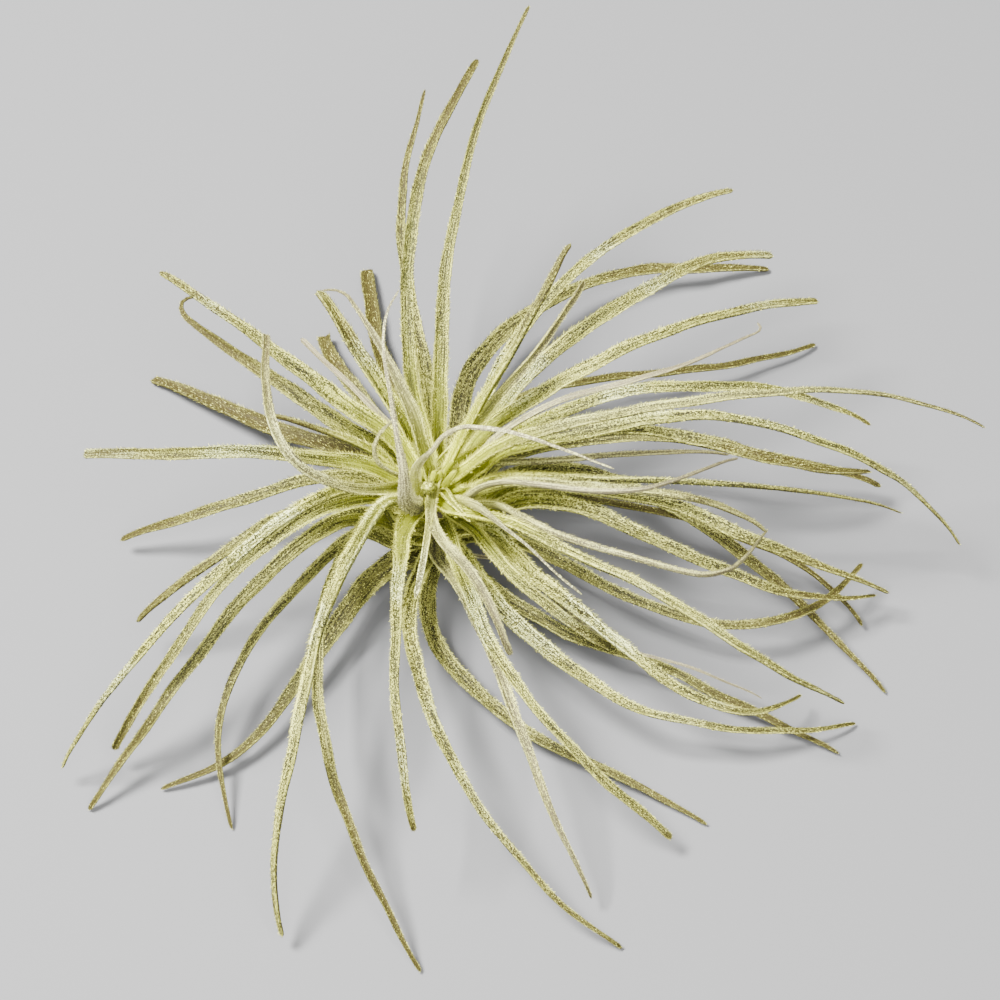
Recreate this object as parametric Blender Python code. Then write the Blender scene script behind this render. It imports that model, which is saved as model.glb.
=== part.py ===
"""An air plant, Tillandsia magnusiana, as it lies on a table: a short woody stem, the leaves that
grow from it in a spiral, and the tuft of young leaves in its heart. Metres, +Z up, with the origin
at the middle of the flat spot under the stem."""

import math

import bmesh
import bpy
import numpy as np
from mathutils.bvhtree import BVHTree

MM = 0.001

# The photograph, which the leaves were read from by hand. It looks along +Y and down.
PHOTO_MIDDLE = (500.0, 500.0)  # pixels
HEART_PIXEL = (437.0, 487.0)  # where the heart of the rosette shows
PIXEL = 0.17 * MM  # the size of a pixel at the heart
HEART_HEIGHT = 24 * MM
VIEW_DISTANCE = 600 * MM
VIEW_ELEVATION = math.radians(60)

# The stem
STEM_HEIGHT = 21 * MM
STEM_RADIUS = 3.6 * MM  # at the flat spot, and the widest
STEM_TOP_RADIUS = 1.6 * MM
STEM_SIDES = 14
STEM_RINGS = 9
SCAR_DEPTH = 0.25 * MM  # the rings that fallen leaves left

# The bud on top of it, which the young leaves grow from: radii and heights above the stem
BUD = ((1.2 * MM, 0.3 * MM), (1.2 * MM, 4 * MM), (1 * MM, 7 * MM), (0.5 * MM, 9 * MM))
BUD_SIDES = 10

# The blades of the leaves
BLADE_THICKNESS = 0.8 * MM  # along the keel
EDGE_THICKNESS = 0.6 * MM
CHANNEL = 0.16  # depth of the channel, as a share of the width
ROOT_WIDTH = 2.1 * MM
ROOT_REACH = 7 * MM  # how far from its root a blade comes to its full width
GAP = 0.3 * MM  # between neighbours
LOWEST_ROOT = 4 * MM
HIGHEST_ROOT = 19.5 * MM
LOWEST_RISE = math.radians(5)  # how steeply the oldest leaf leaves the stem, and the youngest
HIGHEST_RISE = math.radians(66)
NECK = 3.5 * MM  # the first, straight stretch of a leaf
ROOT_TURNS = (0, 12, -12, 24, -24, 36, -36, 50, -50)  # degrees from where a leaf points to its root
TURN_COST = 0.04 * MM  # how much more lifting is borne to keep a root a degree nearer its leaf
TIP_SHARE = 0.28  # width near the tip, as a share of the full width
TAPER = 1.1
FINE = 200  # points on a curve before it is respaced
ROUNDING = 9  # of those points, how many are averaged to round a bend
BEND_LENGTH = 12 * MM  # a bend of one radian gets as many stations as this length of straight leaf

# Colours and roughness
WOOD_COLOUR = (0.13, 0.08, 0.045)
OLD_COLOUR = (0.24, 0.21, 0.09)
YOUNG_COLOUR = (0.47, 0.5, 0.21)
HEART_COLOUR = (0.55, 0.6, 0.2)
WOOD_ROUGHNESS = 0.9
LEAF_ROUGHNESS = 0.75

# The young leaves of the heart
YOUNG_ROOT = STEM_HEIGHT + 2.5 * MM
YOUNG_RISE = math.radians(60)
YOUNG_REACH = 0.8 * MM
YOUNG_NECK = 1 * MM

# How a leaf is laid over the older ones: it is lifted towards the eye until it clears them
LIFT_STEP = 0.3 * MM
LIFT_SPREAD = 9 * MM  # along the leaf
MOST_LIFTS = 60
ORDER_REACH = 13 * MM  # from here outwards a younger leaf also shows in front of an older one

# Leaves from the oldest and lowest to the youngest and highest. Each row gives the name, the width
# of the blade (pixels), the height of its crest above a straight run from root to tip, the height
# of its tip (millimetres), and the places of its midrib from near the root to the tip (pixels
# across and down the photograph).
LEAVES = (
    ("back_leaf_4", 17, 2, 1, ((404, 430), (385, 360), (376, 320), (370, 269))),
    ("back_leaf_7", 15, 4, 2, ((385, 425), (360, 387), (348, 373), (334, 350), (324, 333))),
    ("right_leaf_14", 18, 6, 1,
     ((465, 400), (482, 359), (518, 323), (569, 293), (631, 271), (705, 268), (770, 267))),
    ("right_leaf_11", 9, 6, 0,
     ((500, 405), (530, 392), (585, 378), (643, 373), (709, 367), (778, 355), (818, 343))),
    ("left_leaf_3", 17, 5, 0, ((375, 460), (318, 442), (265, 424), (219, 403), (152, 380))),
    ("front_leaf_14", 24, 3, 0,
     ((400, 555), (372, 580), (338, 627), (305, 668), (261, 730), (219, 764), (161, 787))),
    ("front_leaf_5", 20, 2, 0,
     ((436, 570), (426, 600), (435, 643), (472, 686), (551, 744), (638, 785), (705, 825))),
    ("right_leaf_24", 4, 5, 5,
     ((500, 556), (570, 612), (620, 645), (668, 658), (725, 681), (762, 698))),
    ("left_leaf_13", 12, 8, 0,
     ((370, 530), (309, 571), (272, 613), (240, 660), (222, 702), (219, 769), (232, 829))),
    ("front_leaf_11", 16, 4, 0,
     ((481, 581), (528, 613), (597, 648), (654, 661), (716, 691), (778, 723), (839, 753))),
    ("right_leaf_21", 14, 2, 8,
     ((500, 535), (562, 560), (631, 595), (709, 623), (778, 620), (838, 588), (863, 562))),
    ("right_leaf_18b", 10, 10, 6,
     ((490, 468), (560, 445), (640, 435), (709, 446), (778, 464), (848, 476), (880, 486))),
    ("left_leaf_7", 15, 8, 4, ((370, 478), (323, 473), (277, 485), (230, 502), (184, 516), (118, 538))),
    ("right_leaf_23", 6, 8, 2,
     ((500, 500), (600, 502), (680, 515), (740, 538), (792, 559), (829, 585), (863, 626))),
    ("right_leaf_3", 16, 8, 0,
     ((500, 478), (562, 467), (640, 490), (721, 535), (797, 597), (843, 643), (888, 692))),
    ("front_leaf_16", 13, 12, 0,
     ((375, 518), (350, 545), (322, 610), (318, 681), (334, 774), (373, 880), (420, 973))),
    ("front_leaf_2", 16, 12, 0,
     ((420, 535), (409, 600), (419, 681), (449, 758), (511, 848), (583, 921), (626, 945))),
    ("left_leaf_12", 18, 14, 0,
     ((380, 518), (341, 516), (304, 539), (249, 588), (194, 665), (157, 714), (88, 810))),
    ("back_leaf_3", 18, 2, 44, ((434, 430), (424, 375), (408, 288), (402, 200), (413, 138), (427, 90))),
    ("right_leaf_18a", 16, 14, 10,
     ((490, 455), (530, 443), (600, 427), (663, 428), (755, 450), (825, 468), (875, 469))),
    ("left_leaf_9", 11, 14, 10,
     ((375, 497), (330, 503), (277, 516), (226, 553), (180, 585), (136, 620))),
    ("left_leaf_11", 12, 18, 6,
     ((380, 497), (345, 500), (300, 520), (226, 578), (161, 670), (134, 714), (115, 751))),
    ("front_leaf_12", 18, 7, 1,
     ((455, 545), (486, 585), (528, 627), (574, 661), (631, 702), (700, 724), (790, 732), (857, 721))),
    ("front_leaf_7", 14, 13, 4,
     ((440, 545), (456, 580), (478, 628), (502, 681), (528, 755), (567, 848), (594, 899))),
    ("left_leaf_2", 18, 4, 30,
     ((385, 452), (323, 412), (254, 364), (207, 333), (180, 312), (182, 299), (195, 297))),
    ("right_leaf_20", 18, 12, 6,
     ((500, 506), (585, 505), (640, 530), (709, 562), (778, 590), (825, 597), (878, 594))),
    ("right_leaf_4", 16, 13, 8,
     ((500, 490), (600, 492), (668, 500), (737, 530), (829, 565), (893, 591))),
    ("front_leaf_9", 12, 12, 4, ((452, 515), (474, 530), (523, 586), (574, 625), (612, 648))),
    ("front_leaf_10", 18, 12, 5,
     ((480, 530), (528, 574), (574, 604), (643, 659), (700, 697), (762, 709), (803, 690))),
    ("back_leaf_8", 6, 2, 30, ((395, 430), (366, 401), (338, 377), (300, 341))),
    ("right_leaf_15", 13, 6, 34,
     ((478, 410), (515, 340), (555, 286), (608, 243), (655, 219), (733, 193))),
    ("right_leaf_13", 17, 10, 28,
     ((482, 430), (516, 385), (562, 338), (631, 298), (700, 261), (773, 255))),
    ("back_leaf_1", 17, 4, 56, ((441, 430), (441, 358), (447, 261), (459, 200), (491, 92), (532, 6))),
    ("back_leaf_5", 18, 2, 36, ((405, 430), (385, 400), (355, 355), (330, 308), (320, 290))),
    ("left_leaf_4", 14, 4, 34, ((385, 458), (360, 445), (330, 433), (272, 413))),
    ("front_leaf_6", 15, 13, 5,
     ((447, 535), (470, 600), (500, 662), (551, 723), (608, 783), (673, 838))),
    ("right_leaf_12", 14, 12, 26,
     ((480, 435), (516, 410), (569, 375), (631, 343), (709, 317), (778, 303), (819, 300))),
    ("right_leaf_7", 8, 10, 22, ((477, 468), (539, 460), (608, 454), (680, 451), (730, 453))),
    ("left_leaf_10", 20, 28, 5,
     ((395, 495), (346, 488), (300, 509), (230, 560), (173, 617), (111, 690), (62, 767))),
    ("left_leaf_1", 19, 4, 44, ((405, 450), (355, 412), (288, 360), (219, 312), (160, 273))),
    ("back_leaf_2", 14, 6, 50, ((425, 435), (412, 390), (407, 300), (417, 191), (449, 104), (478, 58))),
    ("right_leaf_8", 18, 24, 12,
     ((485, 458), (562, 436), (640, 418), (721, 414), (813, 438), (903, 481), (959, 544))),
    ("right_leaf_10", 13, 16, 20,
     ((495, 440), (539, 417), (608, 391), (709, 386), (797, 394), (867, 427))),
    ("right_leaf_26", 6, 12, 36,
     ((480, 450), (520, 417), (570, 394), (654, 374), (720, 348), (767, 317))),
    ("right_leaf_6", 11, 14, 18, ((480, 481), (560, 478), (675, 480), (778, 488), (900, 512))),
    ("right_leaf_2", 12, 14, 22,
     ((475, 503), (551, 533), (640, 558), (709, 579), (751, 557), (766, 529))),
    ("right_leaf_5", 12, 17, 28, ((490, 487), (580, 489), (663, 495), (728, 509), (766, 530))),
    ("right_leaf_25", 6, 20, 36, ((480, 484), (560, 487), (640, 491), (675, 480), (738, 456))),
    ("right_leaf_9", 15, 26, 31,
     ((495, 449), (574, 424), (643, 409), (744, 395), (848, 390), (917, 402), (987, 426))),
    ("front_leaf_15", 20, 18, 4,
     ((400, 500), (359, 546), (323, 620), (304, 693), (279, 813), (273, 871), (281, 937))),
    ("left_leaf_6", 18, 12, 38, ((395, 475), (345, 460), (277, 452), (184, 453), (83, 452))),
    ("front_leaf_1", 18, 14, 20,
     ((414, 518), (400, 562), (395, 631), (398, 723), (405, 788), (413, 832))),
    ("right_leaf_17", 10, 4, 42, ((470, 432), (491, 405), (535, 354), (567, 309), (583, 283))),
    ("right_leaf_16", 13, 4, 46, ((465, 435), (484, 401), (516, 350), (539, 304), (569, 243))),
    ("right_leaf_1", 15, 20, 12,
     ((463, 499), (505, 521), (574, 557), (643, 585), (709, 627), (778, 669), (848, 702))),
    ("left_leaf_5", 12, 14, 46,
     ((395, 488), (343, 484), (295, 462), (269, 420), (265, 365), (266, 333))),
    ("back_leaf_6", 11, 8, 44, ((418, 430), (401, 382), (366, 322), (340, 287), (320, 288))),
    ("front_leaf_8", 9, 14, 34, ((435, 533), (450, 548), (475, 576), (500, 620), (512, 657))),
)


# The young leaves of the heart, in the same form, from the lowest to the highest
HEART_LEAVES = (
    ("loop", 6, 4, 42, ((425, 481), (412, 479), (388, 470), (375, 455), (381, 433), (397, 417))),
    ("pale", 9, 4, 34, ((434, 500), (429, 520), (426, 540), (419, 582), (415, 597))),
    ("thread", 6, 8, 36, ((445, 495), (460, 500), (485, 515), (517, 537), (549, 566), (581, 594))),
    ("tall", 11, 2, 54,
     ((427, 497), (414, 508), (406, 500), (401, 470), (396, 420), (384, 345), (386, 310), (398, 289))),
    ("arch", 8, 8, 46,
     ((430, 490), (418, 484), (418, 470), (432, 452), (461, 428), (502, 431), (551, 446), (614, 468))),
    ("knob", 10, 1, 28, ((433, 489), (428, 487))),
    ("right", 8, 1, 28, ((443, 484), (456, 473))),
    ("lower", 9, 1, 27, ((441, 492), (449, 497))),
    ("upper", 9, 1, 28, ((429, 480), (421, 472))),
)


def clear_scene():
    for thing in list(bpy.data.objects):
        bpy.data.objects.remove(thing, do_unlink=True)


def sight(pixel):
    """The camera's place, and the sight line through a pixel, reaching the heart's distance."""
    ahead = np.array((0, math.cos(VIEW_ELEVATION), -math.sin(VIEW_ELEVATION)))
    up = np.array((0, math.sin(VIEW_ELEVATION), math.cos(VIEW_ELEVATION)))
    right = np.array((1.0, 0, 0))
    middle = (
        np.array((0, 0, HEART_HEIGHT))
        + right * (PHOTO_MIDDLE[0] - HEART_PIXEL[0]) * PIXEL
        - up * (PHOTO_MIDDLE[1] - HEART_PIXEL[1]) * PIXEL
    )
    across = right * (pixel[0] - PHOTO_MIDDLE[0]) * PIXEL
    down = up * (PHOTO_MIDDLE[1] - pixel[1]) * PIXEL
    return middle - ahead * VIEW_DISTANCE, ahead * VIEW_DISTANCE + across + down


def place(pixel, height):
    """Where the sight line through a pixel comes down to a height."""
    camera, line = sight(pixel)
    return camera + line * (height - camera[2]) / line[2]


def toward_camera(point):
    camera, _ = sight(PHOTO_MIDDLE)
    line = camera - point
    return line / np.linalg.norm(line)


def smooth_path(points, count):
    """Points spaced evenly along a cubic curve through the given ones."""
    points = np.array(points)
    run = distance_along(points)
    slopes = np.gradient(points, run, axis=0)
    wanted = np.linspace(0, run[-1], FINE)
    start = np.clip(np.searchsorted(run, wanted) - 1, 0, len(points) - 2)
    span = (run[start + 1] - run[start])[:, None]
    t = (wanted - run[start])[:, None] / span
    curve = (
        points[start] * (1 + 2 * t) * (1 - t) ** 2
        + points[start + 1] * t**2 * (3 - 2 * t)
        + slopes[start] * span * t * (1 - t) ** 2
        - slopes[start + 1] * span * t**2 * (1 - t)
    )
    half = ROUNDING // 2
    padded = np.vstack((np.repeat(curve[:1], half, axis=0), curve, np.repeat(curve[-1:], half, axis=0)))
    rounded = sum(padded[k : k + FINE] for k in range(ROUNDING)) / ROUNDING
    return respaced(rounded, count)


def distance_along(points):
    steps = np.linalg.norm(np.diff(points, axis=0), axis=1)
    return np.concatenate(([0.0], np.cumsum(steps)))


def respaced(curve, count):
    """Fewer points on a curve, closest together where it bends."""
    ways = np.diff(curve, axis=0)
    ways /= np.linalg.norm(ways, axis=1)[:, None]
    bends = np.arccos(np.clip((ways[1:] * ways[:-1]).sum(axis=1), -1, 1))
    bent = np.concatenate(([0.0], np.cumsum(bends), [bends.sum()]))
    reached = distance_along(curve) + BEND_LENGTH * bent
    wanted = np.linspace(0, reached[-1], count)
    return np.column_stack([np.interp(wanted, reached, curve[:, k]) for k in range(3)])


def stem_radius(height):
    share = min(max(height / STEM_HEIGHT, 0), 1)
    return STEM_RADIUS + (STEM_TOP_RADIUS - STEM_RADIUS) * share


def smoothstep(x):
    x = np.clip(x, 0, 1)
    return x * x * (3 - 2 * x)


def seen_at(point):
    """The pixel that a point on the stem's axis shows at, near the heart."""
    drop = (HEART_HEIGHT - point) * math.cos(VIEW_ELEVATION) / PIXEL
    return HEART_PIXEL[0], HEART_PIXEL[1] + drop


def midrib(row, root_height, rise, reach, neck_length, turn):
    """The middle line of a leaf, from its root beside the stem's axis to its tip."""
    crest, tip, pixels = row[2] * MM, row[3] * MM, row[4]
    run = distance_along(np.array((seen_at(root_height), *pixels), float))
    share = run[1:] / run[-1]
    heights = root_height + (tip - root_height) * share + 4 * crest * share * (1 - share)
    outer = [place(pixel, height) for pixel, height in zip(pixels, heights)]
    heading = math.atan2(outer[1][1], outer[1][0]) + turn
    way = np.array((math.cos(heading), math.sin(heading)))
    root = np.array((*way * reach, root_height))
    neck = root + neck_length * np.array((*way * math.cos(rise), math.sin(rise)))
    near = reach + neck_length * math.cos(rise)
    clear = [point for point in outer if math.hypot(point[0], point[1]) > near + 0.5 * neck_length]
    return smooth_path([root, neck] + clear, 2 * len(pixels) + 2)


def frames(path):
    """Unit vectors across each station of a path and up from its blade."""
    along = np.gradient(path, axis=0)
    along /= np.linalg.norm(along, axis=1)[:, None]
    side = np.cross(along[0], (0, 0, 1))
    sides = []
    for direction in along:
        side = side - direction * np.dot(side, direction)
        side = side / np.linalg.norm(side)
        sides.append(side)
    sides = np.array(sides)
    return along, sides, np.cross(sides, along)


def widths_along(path, width):
    run = distance_along(path)
    grown = ROOT_WIDTH + (width - ROOT_WIDTH) * smoothstep(run / ROOT_REACH)
    share = np.clip((run - ROOT_REACH) / (run[-1] - ROOT_REACH), 0, 1)
    taper = TIP_SHARE + (1 - TIP_SHARE) * (1 - share) ** TAPER
    return np.minimum(grown, width) * taper


def blade(path, width, pad=0.0):
    """The closed mesh of a channelled blade: six points round each station, and one at the tip."""
    along, sides, ups = frames(path)
    half = widths_along(path, width) / 2 + pad
    depth = CHANNEL * 2 * half
    rings = []
    for offset, height in (
        (-half, depth + pad),
        (0 * half, pad + 0 * half),
        (half, depth + pad),
        (half, depth - EDGE_THICKNESS - pad),
        (0 * half, -BLADE_THICKNESS - pad + 0 * half),
        (-half, depth - EDGE_THICKNESS - pad),
    ):
        rings.append(path + sides * offset[:, None] + ups * height[:, None])
    corners = np.stack(rings, axis=1).reshape(-1, 3)
    middle = ups[-1] * (depth[-1] - BLADE_THICKNESS) / 2
    points = np.vstack((corners, path[-1] + middle + along[-1] * (half[-1] + pad)))
    faces = []
    for ring in range(len(path) - 1):
        low, high = 6 * ring, 6 * ring + 6
        for j in range(6):
            k = (j + 1) % 6
            if j < 3:
                faces += [(low + j, low + k, high + k), (low + j, high + k, high + j)]
            else:
                faces += [(low + j, low + k, high + j), (low + k, high + k, high + j)]
    faces += [(1, (j + 1) % 6, j) for j in range(2, 6)]
    last = 6 * (len(path) - 1)
    faces += [(last + j, last + (j + 1) % 6, len(points) - 1) for j in range(6)]
    return points, facing_out(points, faces)


def facing_out(points, faces):
    volume = sum(np.dot(points[a], np.cross(points[b], points[c])) for a, b, c in faces)
    return faces if volume > 0 else [(a, c, b) for a, b, c in faces]


def tree_of(points, faces):
    return BVHTree.FromPolygons([tuple(p) for p in points], faces)


def ring_of(face, stations):
    """The station that a face of a blade starts at: twelve faces between stations, then the root's four."""
    body = 12 * (stations - 1)
    if face < body:
        return face // 12
    return 0 if face < body + 4 else stations - 1


def blocked_rings(path, width, laid):
    """The stations where a leaf touches the ground or an older leaf, or passes behind one as seen."""
    points, faces = blade(path, width, GAP)
    tree = tree_of(points, faces)
    lowest = points[:-1, 2].reshape(-1, 6).min(axis=1)
    found = set(np.nonzero(lowest < 0)[0].tolist())
    for other in laid:
        found.update(ring_of(mine, len(path)) for mine, _ in tree.overlap(other))
    for ring, point in enumerate(path):
        if ring in found or math.hypot(point[0], point[1]) < ORDER_REACH:
            continue
        line = toward_camera(point)
        if any(other.ray_cast(point, line)[0] is not None for other in laid):
            found.add(ring)
    return found


def lay(path, width, laid):
    """Lifts a leaf off the ones laid before it: up beside the stem, and towards the eye further out."""
    run = distance_along(path)
    outer = smoothstep(run / (NECK + GAP))[:, None]
    ways = np.array((0, 0, 1)) * (1 - outer) + np.array([toward_camera(p) for p in path]) * outer
    lift = np.zeros(len(path))
    for _ in range(MOST_LIFTS):
        found = blocked_rings(path + ways * lift[:, None], width, laid)
        if not found:
            return lift.max(), path + ways * lift[:, None]
        away = np.min([np.abs(run - run[ring]) for ring in found], axis=0)
        lift += LIFT_STEP * np.exp(-((away / LIFT_SPREAD) ** 2))
    return math.inf, path


def settle(row, root_height, rise, reach, neck_length, laid):
    """The leaf's midrib, from whichever root round the stem needs the least lifting."""
    least, best = math.inf, None
    for turn in ROOT_TURNS:
        path = midrib(row, root_height, rise, reach, neck_length, math.radians(turn))
        lift, path = lay(path, row[1] * PIXEL, laid)
        cost = lift + TURN_COST * abs(turn)
        if cost < least:
            least, best = cost, path
        if least <= TURN_COST * abs(turn):
            break
    return best


def add_object(name, mesh, material):
    mesh.materials.append(material)
    thing = bpy.data.objects.new(name, mesh)
    bpy.context.collection.objects.link(thing)
    return thing


def add_blade(name, points, faces, material):
    mesh = bpy.data.meshes.new(name)
    mesh.from_pydata([tuple(p) for p in points], [], faces)
    return add_object(name, mesh, material)


def make_material(name, colour, roughness):
    material = bpy.data.materials.new(name)
    material.use_nodes = True
    shader = material.node_tree.nodes["Principled BSDF"]
    shader.inputs["Base Color"].default_value = (*colour, 1)
    shader.inputs["Roughness"].default_value = roughness
    shader.inputs["Metallic"].default_value = 0
    return material


def turned(name, profile, sides, material):
    """A closed turned piece, from radii and heights from the bottom up."""
    shape = bmesh.new()
    profile = [(0, profile[0][1]), *profile, (0, profile[-1][1])]
    ends = [shape.verts.new((radius, 0, height)) for radius, height in profile]
    edges = [shape.edges.new(pair) for pair in zip(ends, ends[1:])]
    bmesh.ops.spin(
        shape, geom=ends + edges, axis=(0, 0, 1), cent=(0, 0, 0), angle=2 * math.pi, steps=sides
    )
    bmesh.ops.remove_doubles(shape, verts=shape.verts, dist=0.001 * MM)
    bmesh.ops.recalc_face_normals(shape, faces=shape.faces)
    mesh = bpy.data.meshes.new(name)
    shape.to_mesh(mesh)
    shape.free()
    return add_object(name, mesh, material)


def make_stem(material):
    profile = []
    for ring in range(STEM_RINGS + 1):
        height = STEM_HEIGHT * ring / STEM_RINGS
        scar = SCAR_DEPTH if ring % 2 and ring < STEM_RINGS else 0
        profile.append((stem_radius(height) - scar, height))
    return turned("stem", profile, STEM_SIDES, material)


def leaf_material(name, share):
    """Older leaves are olive brown, and younger ones silvery green."""
    colour = [old + (young - old) * share for old, young in zip(OLD_COLOUR, YOUNG_COLOUR)]
    return make_material(name, colour, LEAF_ROUGHNESS)


def make_leaves(laid):
    last = len(LEAVES) - 1
    for rank, row in enumerate(LEAVES):
        share = rank / last
        root_height = LOWEST_ROOT + (HIGHEST_ROOT - LOWEST_ROOT) * share
        rise = LOWEST_RISE + (HIGHEST_RISE - LOWEST_RISE) * share
        width = row[1] * PIXEL
        path = settle(row, root_height, rise, stem_radius(root_height) + GAP, NECK, laid)
        points, faces = blade(path, width)
        laid.append(tree_of(points, faces))
        add_blade(row[0], points, faces, leaf_material(row[0], share))


def make_heart(laid, material):
    """The bud and its young leaves, joined in one body."""
    heart = turned("heart_leaves", [(r, STEM_HEIGHT + h) for r, h in BUD], BUD_SIDES, material)
    helpers = bpy.data.collections.new("young leaves")
    for row in HEART_LEAVES:
        path = settle(row, YOUNG_ROOT, YOUNG_RISE, YOUNG_REACH, YOUNG_NECK, laid)
        points, faces = blade(path, row[1] * PIXEL)
        young = add_blade(row[0], points, faces, material)
        bpy.context.collection.objects.unlink(young)
        helpers.objects.link(young)
    join = heart.modifiers.new("join", "BOOLEAN")
    join.operation = "UNION"
    join.solver = "MANIFOLD"
    join.operand_type = "COLLECTION"
    join.collection = helpers
    graph = bpy.context.evaluated_depsgraph_get()
    joined = bpy.data.meshes.new_from_object(heart.evaluated_get(graph))
    heart.modifiers.clear()
    heart.data = joined
    for young in list(helpers.objects):
        bpy.data.objects.remove(young, do_unlink=True)
    bpy.data.collections.remove(helpers)


def main():
    clear_scene()
    make_stem(make_material("stem", WOOD_COLOUR, WOOD_ROUGHNESS))
    laid = []
    make_leaves(laid)
    make_heart(laid, make_material("heart_leaves", HEART_COLOUR, LEAF_ROUGHNESS))


main()
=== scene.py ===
import itertools
import math

import bpy
import numpy as np
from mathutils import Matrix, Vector


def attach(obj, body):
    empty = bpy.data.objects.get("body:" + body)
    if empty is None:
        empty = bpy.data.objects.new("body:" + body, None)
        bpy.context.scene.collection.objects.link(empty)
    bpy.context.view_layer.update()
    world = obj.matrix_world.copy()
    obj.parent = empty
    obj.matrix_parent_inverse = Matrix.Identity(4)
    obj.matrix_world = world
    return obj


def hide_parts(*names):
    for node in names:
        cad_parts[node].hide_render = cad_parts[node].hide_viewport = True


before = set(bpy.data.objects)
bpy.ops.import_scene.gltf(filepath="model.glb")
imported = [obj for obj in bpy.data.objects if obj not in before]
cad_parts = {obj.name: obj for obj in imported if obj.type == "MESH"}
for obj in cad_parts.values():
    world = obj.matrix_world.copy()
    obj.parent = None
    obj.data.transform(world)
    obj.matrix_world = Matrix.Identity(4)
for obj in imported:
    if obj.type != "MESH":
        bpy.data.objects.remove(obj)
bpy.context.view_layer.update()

mm = 0.001

# the photograph's view: the camera looks along +Y and down, and a pixel at the heart is 0.17 mm
view = {
    "elevation": math.radians(60),
    "distance": 600 * mm,
    "pixel": 0.17 * mm,
    "heartPixel": (437.0, 487.0),
    "heartHeight": 24 * mm,
    "middle": (500.0, 500.0),
}

ahead = np.array((0, math.cos(view["elevation"]), -math.sin(view["elevation"])))
upward = np.array((0, math.sin(view["elevation"]), math.cos(view["elevation"])))
rightward = np.array((1.0, 0, 0))
heart = np.array((0, 0, view["heartHeight"]))


def pixelOffset(pixel):
    across = (pixel[0] - view["heartPixel"][0]) * view["pixel"]
    down = (pixel[1] - view["heartPixel"][1]) * view["pixel"]
    return rightward * across - upward * down


aim = heart + pixelOffset(view["middle"])
cameraPlace = aim - ahead * view["distance"]


def placed(pixel, height):
    # where the sight line through a pixel comes down to a height
    line = heart + pixelOffset(pixel) - cameraPlace
    return cameraPlace + line * (height - cameraPlace[2]) / line[2]


def smoothstep(x, low=0.0, high=1.0):
    x = np.clip((x - low) / (high - low), 0, 1)
    return x * x * (3 - 2 * x)


def runAlong(points):
    steps = np.linalg.norm(np.diff(points, axis=0), axis=1)
    return np.concatenate(([0.0], np.cumsum(steps)))


def smoothed(values, times):
    for _ in range(times):
        middle = 0.25 * values[:-2] + 0.5 * values[1:-1] + 0.25 * values[2:]
        values = np.concatenate((values[:1], middle, values[-1:]))
    return values


lastEven = 1.5 * mm  # a curve's points are evenly spaced up to here from its tip
nearTip = np.array((1.0, 0.7, 0.45, 0.22, 0.08, 0)) * mm  # and then they are this far from it
leastSteps = 6


def curveThrough(points, values, spacing):
    # points of a cubic through the given ones, with the values that go with them
    run = runAlong(points)
    both = np.column_stack((points, values))
    slopes = np.gradient(both, run, axis=0)
    count = max(int(run[-1] / spacing), leastSteps)
    wanted = np.append(np.linspace(0, run[-1] - lastEven, count), run[-1] - nearTip)
    start = np.clip(np.searchsorted(run, wanted) - 1, 0, len(points) - 2)
    span = (run[start + 1] - run[start])[:, None]
    t = (wanted - run[start])[:, None] / span
    curve = (
        both[start] * (1 + 2 * t) * (1 - t) ** 2
        + both[start + 1] * t**2 * (3 - 2 * t)
        + slopes[start] * span * t * (1 - t) ** 2
        - slopes[start + 1] * span * t**2 * (1 - t)
    )
    return curve[:, :3], curve[:, 3:]


# shader maths: a Socket's operators add Math nodes, and node() makes any other node

class Socket:
    def __init__(self, finish, output):
        self.finish, self.output = finish, output

    def maths(self, operation, *values):
        sockets = dict(enumerate(values))
        return self.finish.node("ShaderNodeMath", {"operation": operation}, sockets)

    def __add__(self, other):
        return self.maths("ADD", self, other)

    __radd__ = __add__

    def __sub__(self, other):
        return self.maths("SUBTRACT", self, other)

    def __rsub__(self, other):
        return self.maths("SUBTRACT", other, self)

    def __mul__(self, other):
        return self.maths("MULTIPLY", self, other)

    __rmul__ = __mul__

    def __pow__(self, other):
        return self.maths("POWER", self, other)


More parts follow.
